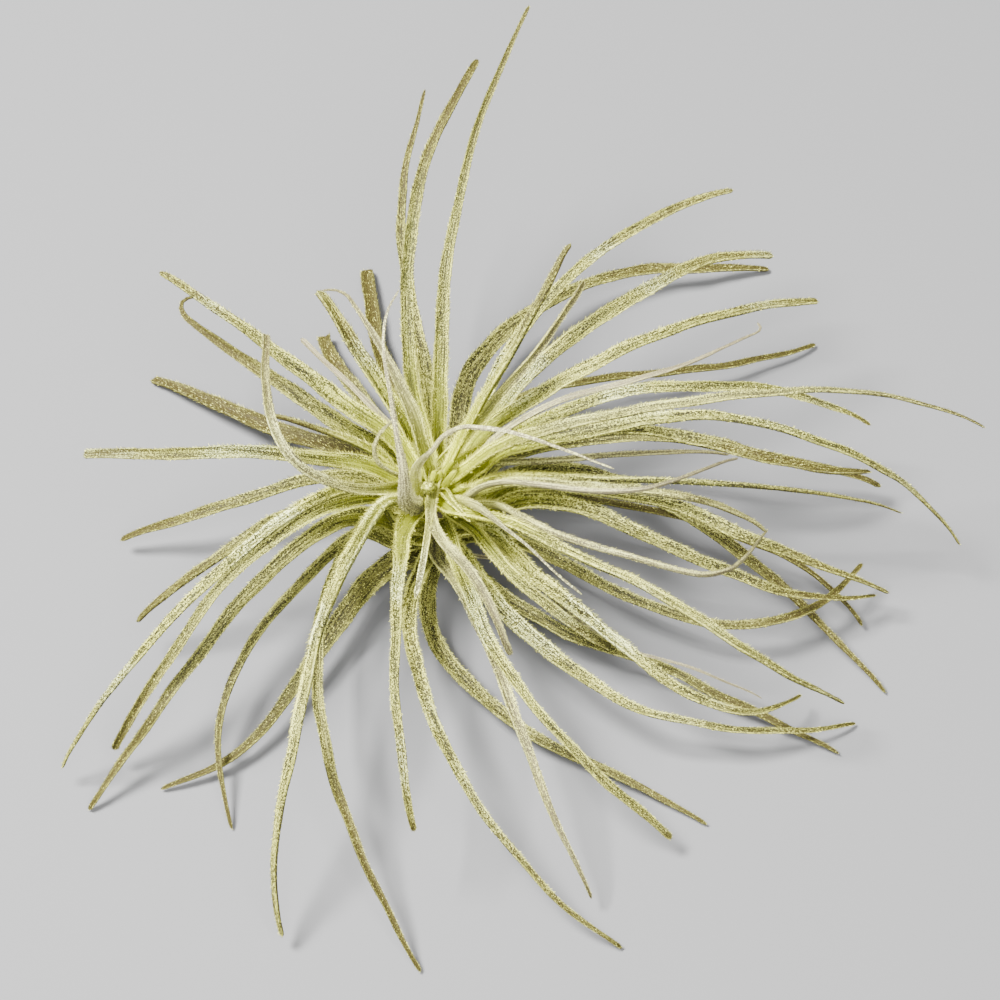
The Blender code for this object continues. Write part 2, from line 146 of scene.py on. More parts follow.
class Finish:
    def __init__(self, name):
        self.material = bpy.data.materials.new(name)
        self.material.use_nodes = True
        self.tree = self.material.node_tree
        self.shader = self.tree.nodes["Principled BSDF"]

    def node(self, kind, settings, sockets, output=0):
        made = self.tree.nodes.new(kind)
        for name, value in settings.items():
            setattr(made, name, value)
        for name, value in sockets.items():
            self.feed(made.inputs[name], value)
        return Socket(self, made.outputs[output])

    def feed(self, target, value):
        if isinstance(value, Socket):
            self.tree.links.new(value.output, target)
        elif isinstance(value, tuple) and len(value) == 3 and target.type == "RGBA":
            target.default_value = (*value, 1)
        else:
            target.default_value = value

    def attributes(self, *names):
        kind = "ShaderNodeAttribute"
        return [self.node(kind, {"attribute_name": name}, {}, "Fac") for name in names]

    def place(self):
        return self.node("ShaderNodeTexCoord", {}, {}, "Object")

    def vector(self, x, y, z):
        return self.node("ShaderNodeCombineXYZ", {}, {"X": x, "Y": y, "Z": z})

    def noise(self, vector, scale, detail):
        sockets = {"Vector": vector, "Scale": scale, "Detail": detail}
        return self.node("ShaderNodeTexNoise", {}, sockets, "Fac")

    def relief(self, height, strength, depth):
        sockets = {"Strength": strength, "Distance": depth, "Height": height}
        return self.node("ShaderNodeBump", {}, sockets)

    def between(self, value, low, high):
        # 0 at low, 1 at high, and level beyond them
        ends = {"Value": value, "From Min": low, "From Max": high}
        return self.node("ShaderNodeMapRange", {"interpolation_type": "SMOOTHSTEP"}, ends)

    def mix(self, factor, first, second):
        # sockets 6 and 7 of a colour Mix are its two colours
        colours = {0: factor, 6: first, 7: second}
        return self.node("ShaderNodeMix", {"data_type": "RGBA"}, colours, 2)

    def done(self, **sockets):
        for name, value in sockets.items():
            self.feed(self.shader.inputs[name.replace("_", " ")], value)
        return self.material


# the finishes' colours are linear
leafColours = {
    "lime": (0.25, 0.275, 0.0015),
    "green": (0.03, 0.033, 0.006),
    "olive": (0.028, 0.024, 0.006),
    # the dark colour of painted shade, in the grooves and on the undersides
    "paintedShade": (0.014, 0.013, 0.004),
    "dry": (0.026, 0.02, 0.0035),
    "felt": (0.66, 0.66, 0.15),
    "limeFelt": (0.82, 0.84, 0.08),
    "lilac": (0.29, 0.25, 0.155),
    "paleFelt": (0.72, 0.7, 0.36),
    # painted sheen: the whiter felt of patches on silver leaves
    "sheen": (0.72, 0.76, 0.32),
}


skin = {
    # noise scales on Object coordinates in metres, and on a leaf's own width and length in mm
    "patchScale": 300,
    "sheenScale": 60,
    "streakScale": 1.3,
    "streakStretch": (4, 0.1),  # how fast the noise runs across the leaf and along it
    "grainStretch": (6.8, 4),
    "numberStep": 3.7,  # sets one leaf's noise apart from the next one's
    # the values of a noise or an attribute at which it begins to count and counts in full
    # where the painted sheen begins and is full, and on how silver a leaf
    "sheenLimits": (0.5, 0.62),
    "sheenSilver": (0.6, 1),
    "oldAge": (0.2, 0.9),
    # where the painted shade of the grooves begins and where it is full
    "grooveShadeLimits": (0.55, 0.42),
    "dryLimits": (0.15, 0.8),
    "lilacLimits": (0.42, 0.62),
    "fleckLimits": (0.5, 0.6),
    "channelLimits": (0.05, 0.55),
    "limeLimits": (0, 0.5),
    # shares: how much one thing adds to another or takes from it
    "grooveShadeLime": 0.7,
    # how dark the painted shade on an underside is
    "underShade": 0.5,
    "dryPatches": 0.5,
    "lilacStreaks": 0.5,
    "lilacLeast": 0.4,
    "lilacLime": 0.6,
    "fleckStreaks": 0.7,
    "fleckEdge": 0.1,
    "feltSilver": 0.43,
    "feltLeast": 0.05,
    "feltEdge": 0.3,
    "feltSheen": 0.12,
    "feltDry": 0.75,
    "feltLime": 0.85,
    "feltPale": 0.7,
    "roughness": 0.6,
    "specular": 0.12,
    "reliefStrength": 0.9,
    "reliefDepth": 0.12 * mm,
}


def makeLeafFinish():
    finish = Finish("leaf skin")
    age, dry, lime, silver, pale = finish.attributes("age", "dry", "lime", "silver", "pale")
    under, edge, across, aside, run = finish.attributes("under", "edge", "across", "aside", "run")
    (number,) = finish.attributes("number")
    colours = leafColours

    patches = finish.noise(finish.place(), skin["patchScale"], detail=2)
    # painted sheen: patches of whiter, denser felt on silver leaves
    sheen = finish.noise(finish.place(), skin["sheenScale"], detail=1)
    sheen = finish.between(sheen, *skin["sheenLimits"])
    sheen = sheen * finish.between(silver, *skin["sheenSilver"])
    wide, long = skin["streakStretch"]
    apart = number * skin["numberStep"]
    stretched = finish.vector(across * wide, run * long, apart)
    streaks = finish.noise(stretched, skin["streakScale"], detail=3)
    wide, long = skin["grainStretch"]
    stretched = finish.vector(aside * wide, run * long, apart + under)
    grain = finish.noise(stretched, scale=1, detail=1)

    # the skin under the scales
    colour = finish.mix(finish.between(age, *skin["oldAge"]), colours["green"], colours["olive"])
    colour = finish.mix(lime, colour, colours["lime"])
    # painted shade: darker lengthwise streaks stand for the shade in the leaf's grooves, fainter in the
    # lime
    grooveShade = finish.between(streaks, *skin["grooveShadeLimits"]) * (1 - lime * skin["grooveShadeLime"])
    colour = finish.mix(grooveShade, colour, colours["paintedShade"])
    # painted shade: an underside that the camera sees is darkened, less so on a pale leaf
    shade = under * (1 - pale) * skin["underShade"]
    colour = finish.mix(shade, colour, colours["paintedShade"])
    dryness = finish.between(dry + (patches - 0.5) * skin["dryPatches"], *skin["dryLimits"])
    colour = finish.mix(dryness, colour, colours["dry"])
    streaky = finish.between(streaks, *skin["lilacLimits"]) * skin["lilacStreaks"]
    lilac = pale * (streaky + skin["lilacLeast"]) * (1 - lime * skin["lilacLime"])
    colour = finish.mix(lilac, colour, colours["lilac"])

    # the felt of small scales: flecks, thinner in the lime channel and where the leaf is dry, and
    # thinned under the painted shade of an underside
    flecks = grain + (streaks - 0.5) * skin["fleckStreaks"] + edge * skin["fleckEdge"]
    flecks = finish.between(flecks, *skin["fleckLimits"])
    share = silver * skin["feltSilver"] + skin["feltLeast"] + edge * skin["feltEdge"]
    share = share + sheen * skin["feltSheen"]
    felt = flecks * share * (1 - shade) * (1 - dry * skin["feltDry"])
    channel = 1 - finish.between(edge, *skin["channelLimits"])
    felt = felt * (1 - finish.between(lime, *skin["limeLimits"]) * channel * skin["feltLime"])
    feltColour = finish.mix(lime, colours["felt"], colours["limeFelt"])
    feltColour = finish.mix(sheen * (1 - lime), feltColour, colours["sheen"])
    feltColour = finish.mix(pale * skin["feltPale"], feltColour, colours["paleFelt"])
    colour = finish.mix(felt, colour, feltColour)
    relief = finish.relief(flecks + streaks, skin["reliefStrength"], skin["reliefDepth"])
    return finish.done(
        Base_Color=colour,
        Roughness=skin["roughness"],
        Specular_IOR_Level=skin["specular"],
        Normal=relief,
    )


scaleLook = {
    "dull": (0.025, 0.024, 0.006),
    "bright": (1.0, 1.0, 0.23),
    "dullness": 4.2,  # the power that keeps most scales of a leaf with no silver dull
    "lime": (0.36, 0.4, 0.003),
    "limeEdge": (1.0, 1.0, 0.14),
    "limeShare": 0.8,
    "pale": (0.62, 0.56, 0.38),
    "paleLeast": 0.25,
    "paleByTone": 0.5,
    "dry": (0.055, 0.045, 0.009),
    "dryLimits": (0, 0.9),
    "dryMost": 1.15,
    "dryByTone": 0.75,
    "foot": (0.05, 0.045, 0.009),
    "footShare": 0.45,
    "roughness": 0.5,
    "specular": 0.15,
}


def makeScaleFinish():
    finish = Finish("leaf scales")
    tone, tip, dry, lime = finish.attributes("tone", "tip", "dry", "lime")
    pale, silver, edge = finish.attributes("pale", "silver", "edge")
    brightness = tone ** (scaleLook["dullness"] - silver)
    colour = finish.mix(brightness, scaleLook["dull"], scaleLook["bright"])
    limeColour = finish.mix(edge, scaleLook["lime"], scaleLook["limeEdge"])
    colour = finish.mix(lime * scaleLook["limeShare"], colour, limeColour)
    paleness = pale * (tone * scaleLook["paleByTone"] + scaleLook["paleLeast"])
    colour = finish.mix(paleness, colour, scaleLook["pale"])
    dryness = finish.between(dry, *scaleLook["dryLimits"])
    dryness = dryness * (scaleLook["dryMost"] - tone * scaleLook["dryByTone"])
    colour = finish.mix(dryness, colour, scaleLook["dry"])
    colour = finish.mix((1 - tip) * scaleLook["footShare"], colour, scaleLook["foot"])
    return finish.done(
        Base_Color=colour,
        Roughness=scaleLook["roughness"],
        Specular_IOR_Level=scaleLook["specular"],
    )


bark = {
    "fibreScale": 900,
    "fibreLimits": (0.35, 0.65),
    "dark": (0.05, 0.037, 0.017),
    "light": (0.16, 0.125, 0.06),
    "reliefStrength": 0.8,
    "reliefDepth": 0.3 * mm,
    "roughness": 0.85,
}


def makeBarkFinish():
    finish = Finish("stem bark")
    fibres = finish.noise(finish.place(), bark["fibreScale"], detail=4)
    colour = finish.mix(finish.between(fibres, *bark["fibreLimits"]), bark["dark"], bark["light"])
    relief = finish.relief(fibres, bark["reliefStrength"], bark["reliefDepth"])
    return finish.done(Base_Color=colour, Roughness=bark["roughness"], Normal=relief)


floorLook = {"colour": (0.088, 0.088, 0.088), "roughness": 0.8}


def makeFloorFinish():
    finish = Finish("floor")
    return finish.done(Base_Color=floorLook["colour"], Roughness=floorLook["roughness"])


# the scales, which Geometry Nodes spread over each leaf and along its margins

scales = {
    "perSquareMetre": 9.5e6,
    "fringeSpacing": 0.25 * mm,
    "faceLength": 0.42 * mm,
    "faceWidth": 0.14 * mm,
    "fringeLength": 0.66 * mm,
    "fringeWidth": 0.11 * mm,
    "sides": 3,
    "wobble": 0.45,  # how far a scale may lean off its way, each way
    "longest": 1.3,  # the most length, least width and most width, as shares of the full ones
    "thinnest": 0.7,
    "widest": 1.3,
    "faceLeast": 0.1,  # the least length and tone of a scale, and of a hair of the fringe
    "fringeLeast": 0.3,
    "faceRise": 0.55,  # how far a scale leans off the skin and to the side, next to tipward
    "faceOutward": 0.4,
    "fringeTipward": 0.9,  # how far the fringe leans tipward, next to outward
    "faceSeed": 10,
    "fringeSeed": 20,
}


def makeScaleTree(scaleFinish):
    tree = bpy.data.node_groups.new("leaf scales", "GeometryNodeTree")
    sockets = {}
    for name, kind, side in (
        ("Leaf", "NodeSocketGeometry", "INPUT"),
        ("Scales per area", "NodeSocketFloat", "INPUT"),
        ("Fringe spacing", "NodeSocketFloat", "INPUT"),
        ("Scale length", "NodeSocketFloat", "INPUT"),
        ("Scale width", "NodeSocketFloat", "INPUT"),
        ("Fringe length", "NodeSocketFloat", "INPUT"),
        ("Fringe width", "NodeSocketFloat", "INPUT"),
        ("Seed", "NodeSocketInt", "INPUT"),
        ("Leaf", "NodeSocketGeometry", "OUTPUT"),
    ):
        sockets[name, side] = tree.interface.new_socket(name, in_out=side, socket_type=kind)
    groupIn = tree.nodes.new("NodeGroupInput")
    groupOut = tree.nodes.new("NodeGroupOutput")

    def add(kind, settings, links, output=0):
        made = tree.nodes.new(kind)
        for name, value in settings.items():
            setattr(made, name, value)
        for name, value in links.items():
            if isinstance(value, bpy.types.NodeSocket):
                tree.links.new(value, made.inputs[name])
            else:
                made.inputs[name].default_value = value
        return made.outputs[output]

    def named(name, kind):
        return add("GeometryNodeInputNamedAttribute", {"data_type": kind}, {"Name": name})

    def plus(first, second):
        return add("ShaderNodeVectorMath", {"operation": "ADD"}, {0: first, 1: second})

    def scaled(vector, factor):
        return add("ShaderNodeVectorMath", {"operation": "SCALE"}, {0: vector, "Scale": factor})

    def maths(operation, first, second):
        return add("ShaderNodeMath", {"operation": operation}, {0: first, 1: second})

    def random(low, high, seed, kind="FLOAT"):
        # a random value's sockets 2 and 3 are the float limits, and 0 and 1 the vector limits
        first = 2 if kind == "FLOAT" else 0
        output = 1 if kind == "FLOAT" else 0
        links = {first: low, first + 1: high, "Seed": seed}
        return add("FunctionNodeRandomValue", {"data_type": kind}, links, output)

    # a scale is a cone of unit height and width, which stores how near to its tip it is
    sizes = {"Vertices": scales["sides"], "Radius Top": 0, "Radius Bottom": 0.5, "Depth": 1}
    cone = add("GeometryNodeMeshCone", {}, sizes)
    height = add("ShaderNodeSeparateXYZ", {}, {0: add("GeometryNodeInputPosition", {}, {})}, 2)
    stored = {"Geometry": cone, "Name": "tip", "Value": height}
    spike = add("GeometryNodeStoreNamedAttribute", {"data_type": "FLOAT"}, stored)
    seed = groupIn.outputs["Seed"]
    tipward = named("tipward", "FLOAT_VECTOR")
    outward = named("outward", "FLOAT_VECTOR")

    def spread(points, lean, kind, least, firstSeed):
        # least: the smallest length and tone, as shares of the full ones
        limits = (-scales["wobble"],) * 3, (scales["wobble"],) * 3
        wobble = random(*limits, maths("ADD", seed, firstSeed), "FLOAT_VECTOR")
        way = plus(lean, wobble)
        turn = add("FunctionNodeAlignRotationToVector", {"axis": "Z"}, {"Vector": way})
        length = random(least, scales["longest"], maths("ADD", seed, firstSeed + 1))
        length = maths("MULTIPLY", groupIn.outputs[kind + " length"], length)
        length = maths("MULTIPLY", length, named("wool", "FLOAT"))
        width = random(scales["thinnest"], scales["widest"], maths("ADD", seed, firstSeed + 2))
        width = maths("MULTIPLY", groupIn.outputs[kind + " width"], width)
        size = add("ShaderNodeCombineXYZ", {}, {"X": width, "Y": width, "Z": length})
        instances = {"Points": points, "Instance": spike, "Rotation": turn, "Scale": size}
        spikes = add("GeometryNodeInstanceOnPoints", {}, instances)
        tone = random(least, 1.0, maths("ADD", seed, firstSeed + 3))
        return add(
            "GeometryNodeStoreNamedAttribute",
            {"data_type": "FLOAT", "domain": "INSTANCE"},
            {"Geometry": spikes, "Name": "tone", "Value": tone},
        )

    over = tree.nodes.new("GeometryNodeDistributePointsOnFaces")
    tree.links.new(groupIn.outputs["Leaf"], over.inputs["Mesh"])
    density = maths("MULTIPLY", groupIn.outputs["Scales per area"], named("scaliness", "FLOAT"))
    tree.links.new(density, over.inputs["Density"])
    tree.links.new(seed, over.inputs["Seed"])
    lean = plus(scaled(over.outputs["Normal"], scales["faceRise"]), tipward)
    lean = plus(lean, scaled(outward, scales["faceOutward"]))
    least, firstSeed = scales["faceLeast"], scales["faceSeed"]
    faceScales = spread(over.outputs["Points"], lean, "Scale", least, firstSeed)

    margins = {"Mesh": groupIn.outputs["Leaf"], "Selection": named("margin", "BOOLEAN")}
    rims = add("GeometryNodeMeshToCurve", {}, margins)
    stepped = {"Curve": rims, "Length": groupIn.outputs["Fringe spacing"]}
    rimPoints = add("GeometryNodeCurveToPoints", {"mode": "LENGTH"}, stepped)
    lean = plus(outward, scaled(tipward, scales["fringeTipward"]))
    least, firstSeed = scales["fringeLeast"], scales["fringeSeed"]
    fringe = spread(rimPoints, lean, "Fringe", least, firstSeed)

    both = tree.nodes.new("GeometryNodeJoinGeometry")
    tree.links.new(faceScales, both.inputs[0])
    tree.links.new(fringe, both.inputs[0])
    realized = add("GeometryNodeRealizeInstances", {}, {"Geometry": both.outputs[0]})
    finished = add("GeometryNodeSetMaterial", {}, {"Geometry": realized, "Material": scaleFinish})
    whole = tree.nodes.new("GeometryNodeJoinGeometry")
    tree.links.new(finished, whole.inputs[0])
    tree.links.new(groupIn.outputs["Leaf"], whole.inputs[0])
    tree.links.new(whole.outputs[0], groupOut.inputs[0])
    inputs = {name: made.identifier for (name, side), made in sockets.items() if side == "INPUT"}
    return {"tree": tree, "inputs": inputs}


def spreadScales(blade, scaleTree, seed):
    # the blade with its scales, as one plain mesh
    spreader = blade.modifiers.new("scales", "NODES")
    spreader.node_group = scaleTree["tree"]
    for name, value in (
        ("Scales per area", scales["perSquareMetre"]),
        ("Fringe spacing", scales["fringeSpacing"]),
        ("Scale length", scales["faceLength"]),
        ("Scale width", scales["faceWidth"]),
        ("Fringe length", scales["fringeLength"]),
        ("Fringe width", scales["fringeWidth"]),
        ("Seed", seed),
    ):
        spreader[scaleTree["inputs"][name]] = value
    graph = bpy.context.evaluated_depsgraph_get()
    mesh = bpy.data.meshes.new_from_object(blade.evaluated_get(graph))
    blade.modifiers.clear()
    old = blade.data
    blade.data = mesh
    bpy.data.meshes.remove(old)


# reading a leaf's stations back from its solid

ringSize = 6  # a leaf's solid has six corners at each station, and one at its tip


def stationsOf(node):
    # the stations' rings of corners, from the root on, and the tip
    mesh = node.data
    corners = np.array([v.co for v in mesh.vertices], float)
    points, index = np.unique(np.round(corners, 6), axis=0, return_inverse=True)
    index = index.reshape(-1)
    near = [set() for _ in points]
    for a, b in ((index[e.vertices[0]], index[e.vertices[1]]) for e in mesh.edges):
        if a != b:
            near[a].add(b)
            near[b].add(a)
    levels = next(filter(None, (levelsFrom(start, near) for start in range(len(points)))))
    ring = [levels[1].pop()]
    while levels[1]:
        step = next(iter(levels[1] & near[ring[-1]]))
        levels[1].remove(step)
        ring.append(step)
    rings = [points[ring]]
    orders = np.array(list(itertools.permutations(range(ringSize))))
    for level in levels[2:]:
        # a ring's corners are put in the order that leaves each nearest to the last ring's
        found = points[sorted(level)]
        last = rings[-1]
        gaps = (last - last.mean(0))[:, None] - (found - found.mean(0))[None]
        gaps = np.linalg.norm(gaps, axis=2)
        best = orders[gaps[np.arange(ringSize), orders].sum(axis=1).argmin()]
        rings.append(found[best])
    return np.array(rings[::-1]), points[next(iter(levels[0]))]


def levelsFrom(start, near):
    # the sets of points 0, 1, 2 ... steps from a point, if it is the tip: each later one is a ring
    if len(near[start]) != ringSize:
        return None
    levels, seen = [{start}], {start}
    while True:
        step = set().union(*(near[p] for p in levels[-1])) - seen
        if not step:
            return levels
        if len(step) != ringSize:
            return None
        seen |= step
        levels.append(step)


def labelled(rings):
    # puts each ring's corners in one order: left, channel, right on top, and right, keel, left below
    for turn in range(ringSize):
        turned = np.roll(rings, -turn, axis=1)
        up = turned[:, 0] + turned[:, 2] - turned[:, 3] - turned[:, 5]
        rise = (turned[:, 0] + turned[:, 2]) / 2 - turned[:, 1]
        if ((rise * up).sum(axis=1) > 0).all():
            return turned
    raise ValueError("a leaf has no channel")


# looks by leaf: silver 0-1, the share of its length that is dry, how pale and pinkish it is, its
# breadth in the photograph at the places in blades["breadthAt"] along it, and how far to the side
# of its solid's middle it lies there at those in blades["shiftAt"], both in pixels
looks = {
    "back_leaf_1": (0.7, 0, 0, (18, 15, 9.5, 7, 4), (-2, 0, -1.5, -2, -2)),
    "back_leaf_2": (0.45, 0.25, 0, (14, 14, 13.5, 10, 7), (0, -0.5, -1, 1.5, 1)),
    "back_leaf_3": (0.6, 0.1, 0, (18, 16, 11, 7, 3.5), (1, 1.5, -2, -1, -1.5)),
    "back_leaf_4": (0.15, 0.9, 0, (15, 15, 15, 14.5, 13), (-1.5, -3, -4, -4, -3)),
    "back_leaf_5": (0.9, 0, 0, (21, 18, 16, 13, 10), (1, 2.5, 3.5, 1, -1.5)),
    "back_leaf_6": (0.6, 0, 0.4, (15, 13, 8, 4.5, 3), (-0.5, -1, -1, -2, -2)),
    "back_leaf_7": (0.3, 0.35, 0, (17, 16, 15, 14, 13), (-2.5, -4.5, -6.5, -6, -3)),
    "back_leaf_8": (0.5, 0, 0.9, (8, 8, 6.5, 6, 6), (0.5, 0.5, 0.5, 3, 3)),
    "left_leaf_1": (1, 0, 0, (18.5, 17.5, 13.5, 9.5, 6), (-0.5, -1, -1, 2, 1)),
    "left_leaf_2": (0.55, 0.5, 0, (20, 19, 15, 8, 3.5), (-0.5, -1.5, -1.5, 1, -1)),
    "left_leaf_3": (0.1, 1.1, 0, (18, 17, 15, 12, 8), (-1.5, -2, -3, 0.5, 1)),
    "left_leaf_4": (0.35, 0.1, 0, (17, 15, 12, 9, 6), (0, 0, 0, 0, 0)),
    "left_leaf_5": (0.8, 0, 0.2, (15, 11, 9, 8, 6.5), (-2.5, -4, 0, 1, 0.5)),
    "left_leaf_6": (0.9, 0, 0, (20, 16, 13, 11, 9), (-1.5, -3, 1, -2, -1.5)),
    "left_leaf_7": (0.5, 0.3, 0, (16, 14, 12, 9, 5), (-3.5, -4.5, -2.5, -1, -2.5)),
    "left_leaf_9": (0.45, 0.2, 0, (14, 12, 11, 9, 6), (0.5, 0, 0.5, 1, 1)),
    "left_leaf_10": (1.15, 0, 0, (19.5, 15.5, 8.5, 6, 4), (0, -1.5, 0.5, 1.5, 2)),
    "left_leaf_11": (0.7, 0.15, 0, (14, 12.5, 11, 10, 8), (-0.5, -0.5, -1, 0, 3)),
    "left_leaf_12": (0.4, 0.1, 0, (20, 15.5, 12, 9, 5.5), (-4, -2, 3, 0.5, 0.5)),
    "left_leaf_13": (0.35, 0.2, 0, (14, 11, 9.5, 6.5, 4), (-3.5, -1, 0, 0.5, 1)),
    "front_leaf_14": (0.1, 0.2, 0, (26, 19, 12, 8, 4.5), (0, 0, -3, -1, -2)),
    "front_leaf_15": (1.1, 0, 0, (21, 19, 11, 8, 5.5), (0.5, 0.5, -2.5, 2, 0.5)),
    "front_leaf_16": (0.4, 0.45, 0, (14, 12, 11, 8, 4.5), (1.5, 2.5, 2.5, 1, -1)),
    "front_leaf_1": (1, 0.05, 0, (20, 13, 10, 9, 7), (-0.5, -1, 1.5, -0.5, -1)),
    "front_leaf_2": (0.75, 0.08, 0, (17, 14, 9.5, 6.5, 4.5), (0.5, -1.5, 1, 0.5, 4)),
    "front_leaf_5": (0.45, 0.15, 0, (18, 15, 11, 7, 4), (0, 3, 1.5, -1, -1.5)),
    "front_leaf_6": (1.05, 0.05, 0, (17, 14, 10, 9.5, 7), (-2, 0, 2.5, 0, 0)),
    "front_leaf_7": (0.85, 0.05, 0.3, (15, 14, 10, 6.5, 4), (-2, -1, -1, -1, 1)),
    "front_leaf_8": (0.8, 0, 0.35, (10, 11, 10, 8, 6), (0.5, 1, 1.5, 2, 1)),
    "front_leaf_9": (0.8, 0, 0, (14, 13, 11, 10, 8), (0, 0, 0, 0, 0)),
    "front_leaf_10": (1, 0.1, 0, (17.5, 15.5, 10.5, 6.5, 4), (1.5, 3, 4.5, 4.5, 4)),
    "front_leaf_11": (0.25, 0.3, 0, (14.5, 11.5, 9.5, 7.5, 4), (-1, -1, 3.5, -0.5, 0)),
    "front_leaf_12": (0.9, 0.05, 0, (18, 15, 8, 6.5, 4), (7, 7, 0, -0.5, 2.5)),
    "right_leaf_1": (0.95, 0.05, 0, (15, 12.5, 10, 7, 4), (0, -0.5, -1, 1.5, 2)),
    "right_leaf_2": (0.75, 0, 0.4, (15, 12, 9, 5.5, 3), (1, 2, -1.5, -1, -1)),
    "right_leaf_3": (0.5, 0.5, 0, (13, 13, 12, 7, 4), (1, 2, 2.5, 2, 2)),
    "right_leaf_4": (0.75, 0.1, 0, (13, 13, 12, 7, 4), (1, 1.5, 4, 3, 3)),
    "right_leaf_5": (0.85, 0, 0.15, (15, 14, 12, 8, 4), (-1, -1.5, -2, -1.5, -2)),
    "right_leaf_6": (0.6, 0.1, 0, (12, 11, 8, 5, 3), (0.5, 1, 0, -3.5, -3)),
    "right_leaf_7": (0.6, 0, 0.4, (11, 8, 6, 5, 4), (1.5, 2.5, 0.5, 0, 0)),
    "right_leaf_8": (0.85, 0.05, 0, (18, 14, 8, 6, 4), (4, 1, 0.5, -1, -3)),
    "right_leaf_9": (0.7, 0.1, 0.1, (17, 11, 7, 5, 3), (0, 0, -0.5, -1, 0)),
    "right_leaf_10": (0.95, 0.05, 0, (15, 13, 11, 8, 4), (5, 2, -1, -1, -5.5)),
    "right_leaf_11": (0.35, 0.8, 0, (10.5, 9, 8, 6.5, 4.5), (0.5, 2.5, 1.5, 0.5, 1)),
    "right_leaf_12": (0.95, 0, 0, (16, 14, 12, 9, 6), (0, 3, 2, 0.5, 0)),
    "right_leaf_13": (0.95, 0, 0, (18, 16, 14, 11, 7), (1, 5, 1.5, -0.5, -1)),
    "right_leaf_14": (0.45, 0.4, 0, (22, 19, 12, 9, 5), (-6, -1, -1, 1, 1)),
    "right_leaf_15": (0.95, 0, 0, (14, 13, 11, 9.5, 6), (0.5, 1, 4, -4.5, -4.5)),
    "right_leaf_16": (0.75, 0, 0, (13, 15, 13, 8.5, 5), (-1, -1, -2, 0, 0)),
    "right_leaf_17": (0.8, 0, 0.2, (11, 10.5, 8.5, 7, 6), (0, 0, 0, -0.5, 2.5)),
    "right_leaf_18a": (0.65, 0.45, 0, (10.5, 9.5, 12.5, 10.5, 4), (3, 3.5, 5.5, 2.5, 3.5)),
    "right_leaf_18b": (0.3, 0.3, 0, (10, 10, 9, 8, 5), (0, 0.5, -2, -4.5, -3)),
    "right_leaf_20": (0.75, 0.3, 0, (16.5, 15.5, 11.5, 6, 4), (2.5, 5, 0.5, 2, 1.5)),
    "right_leaf_21": (0.3, 0.3, 0, (15, 11, 10, 8, 5), (3, 3, 1, 3, 1)),
    "right_leaf_23": (0.1, 1, 0, (7, 7, 7, 6, 4), (0, 0, 0, -0.5, -1)),
    "right_leaf_24": (0.3, 0.2, 0.9, (4.5, 4.5, 4, 3.5, 2.5), (1.5, 2, 3, 0, -1.5)),
    "right_leaf_25": (0.3, 0.3, 0.6, (8, 7.5, 7, 5, 4), (0, 0.5, 0.5, -0.5, 0)),
    "right_leaf_26": (0.15, 0.45, 0.75, (7, 6.5, 5.5, 4, 3), (1.5, 2, 1.5, 1, 10)),
}

blades = {
    "spacing": 1.2 * mm,
    "breadthAt": (0.12, 0.35, 0.6, 0.85, 1),
    "shiftAt": (0.25, 0.45, 0.65, 0.85, 1),
    "fringeShare": 1.5,  # pixels of that breadth which are fringe
    "breadthSmoothing": 6,
    "widthSmoothing": 4,
    "squarest": 0.75,  # a leaf seen more from its edge than this isn't widened further
    "fold": 0.85,  # half the angle that a section curls through, in radians
    "sheathFold": 1.3,
    "mostFlat": 2,  # a blade that folds more than this takes the points of a rolled one
    "keelThickness": 0.55 * mm,
    "keelShare": 0.9,  # the keel's thickness, as a share of half the width, at most
    "sheathShare": 1.15,  # width at the root, as a share of the leaf's full width
    "sheathTaper": 0.4,  # what it loses of that by the end of the sheath
    "sheathLength": 10 * mm,
    "rootReach": 2.5 * mm,  # how far the base goes on into the stem
    "oldRoot": 9 * mm,  # a leaf rooted below this isn't drawn into the crown
    "youngRoot": 17 * mm,  # and one rooted above this is drawn in fully
    "crownLift": 3.5 * mm,  # how far the base of a young leaf is drawn up into the crown, at most
    "crownTop": 22.5 * mm,
    "crownReach": 11 * mm,
    "crownPull": 0.5,  # and how far towards the axis, as a share of its distance
    "oldestRoot": 4 * mm,  # height of the root of the oldest leaf
    "rootRange": 17 * mm,  # and how far above it the youngest one's is
    "wander": 0.12 * mm,
    "wanderWaves": (0.25, 0.5),  # radians per mm, at least and at most
    "wanderShare": (0.1, 0.4),  # where along the leaf it begins and is full
    "twist": 0.22,
    "twistWaves": (0.08, 0.16),
    "twistShare": (0.15, 0.5),
    "swell": 0.05,  # how much the width varies
    "swellWaves": 0.8,
    "anyPhase": 6.3,  # radians; a wave starts anywhere up to this
    "tipLength": 0.9 * mm,
    "tipLeast": 0.002,
    "tipCap": 0.05 * mm,
    "fade": 1.0,  # how dull a leaf is at its tip, next to one that is dry there
    "silverFade": 0.4,  # how much less that is for a silver leaf
    "fadeShare": (0.35, 1),
    "dryReach": 1.25,  # the dry part begins and is full at these shares of its length from the tip
    "dryFull": 0.3,
    "dryLeast": 0.001,  # the least share of the length over which a leaf turns dry
    "limeReach": (3 * mm, 30 * mm),  # distances from the heart between which a leaf loses its lime
    "limeAge": 0.7,  # how much of it an old leaf lacks
    "limeFront": 0.6,
    "limePale": 0.8,
    "innerReach": (4 * mm, 30 * mm),
    "innerWool": 0.5,  # how much longer the scales are near the heart
    "narrowWool": 0.5,  # how long they are where a leaf is narrow
    "narrow": (0.2 * mm, 1.4 * mm),
    "paleWool": 0.35,  # how much shorter they are on a pale leaf
    "underScales": 0.3,  # how many scales its underside has, next to the upper one
    "bareChannel": 0.8,  # the share of its scales that the channel lacks near the heart
    "bareEdge": 0.7,  # and how much less of them the margins lack
    "paleLeast": 0.35,
    "paleReach": (4 * mm, 16 * mm),
}
